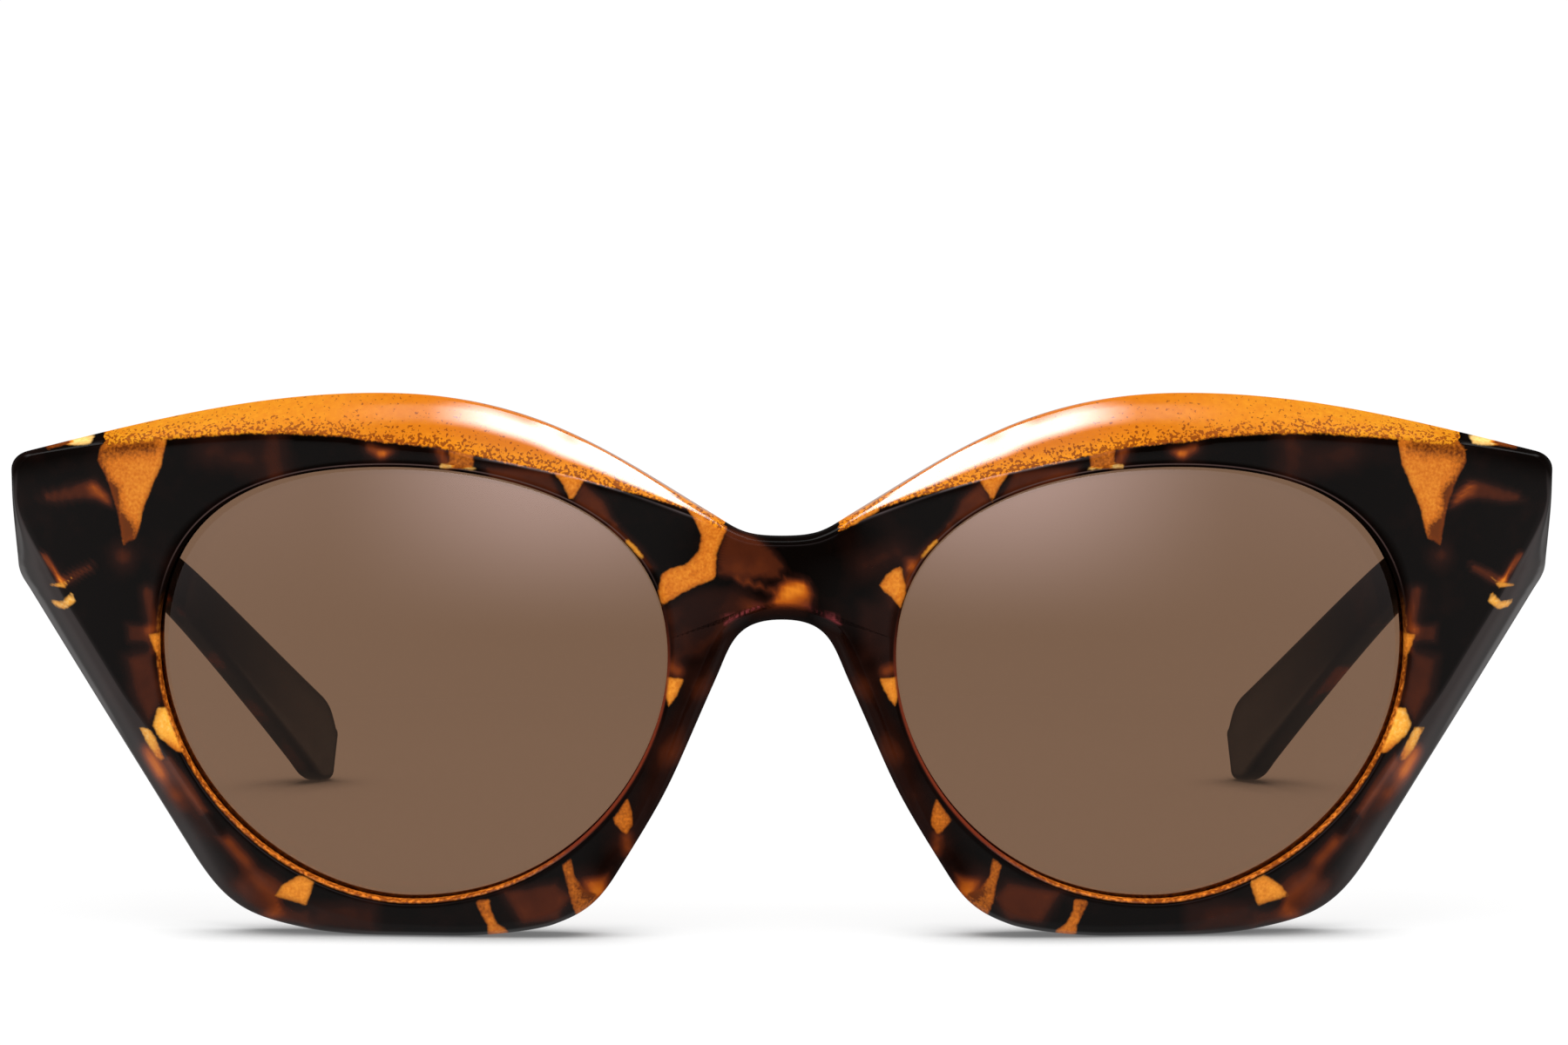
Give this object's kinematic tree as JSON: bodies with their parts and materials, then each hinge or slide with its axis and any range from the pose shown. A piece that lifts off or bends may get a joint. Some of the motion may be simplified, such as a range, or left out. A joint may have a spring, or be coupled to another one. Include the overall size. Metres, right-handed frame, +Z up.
{
  "type": "cat eye sunglasses",
  "caption": "Cat-eye sunglasses: thick faceted front with upswept outer corners, tinted oval lenses in grooves, and drop-tip temples folding inward on multi-knuckle hinges.",
  "frame": {"origin": "middle of the bounding box at the table level, with the glasses standing open on the lower rims and the temple tips", "axes": "+Z up, -Y the way the wearer looks, +X towards the wearer's left"},
  "size_m": [0.1464, 0.1522, 0.0511],
  "materials": {
    "tortoise_acetate": "polished, dark brown with amber patches",
    "tinted_lens": "polished brown tint",
    "amber_acetate": "polished",
    "hinge_metal": "satin",
    "screw_metal": "bright",
    "core_steel": "plain drawn wire"
  },
  "bodies": {
    "front": {"frame_front": "tortoise_acetate", "lens_left": "tinted_lens", "nose_pad_left": "amber_acetate", "hinge_front_leaf_left": "hinge_metal", "hinge_pivot_screw_left": "screw_metal", "front_leaf_screw_upper_left": "screw_metal", "front_leaf_screw_lower_left": "screw_metal", "lens_right": "tinted_lens", "nose_pad_right": "amber_acetate", "hinge_front_leaf_right": "hinge_metal", "hinge_pivot_screw_right": "screw_metal", "front_leaf_screw_upper_right": "screw_metal", "front_leaf_screw_lower_right": "screw_metal"},
    "temple_left": {"temple_left": "tortoise_acetate", "core_wire_left": "core_steel", "hinge_temple_leaf_left": "hinge_metal", "temple_leaf_screw_front_left": "screw_metal", "temple_leaf_screw_rear_left": "screw_metal"},
    "temple_right": {"temple_right": "tortoise_acetate", "core_wire_right": "core_steel", "hinge_temple_leaf_right": "hinge_metal", "temple_leaf_screw_front_right": "screw_metal", "temple_leaf_screw_rear_right": "screw_metal"}
  },
  "joints": [
    {"name": "left_temple_fold", "type": "hinge", "parent": "front", "child": "temple_left", "pos_m": [0.06585, -0.0621, 0.0396], "axis": [0, 0, 1], "range_deg": [0, 86]},
    {"name": "right_temple_fold", "type": "hinge", "parent": "front", "child": "temple_right", "pos_m": [-0.06585, -0.0621, 0.0396], "axis": [0, 0, -1], "range_deg": [0, 77]}
  ]
}
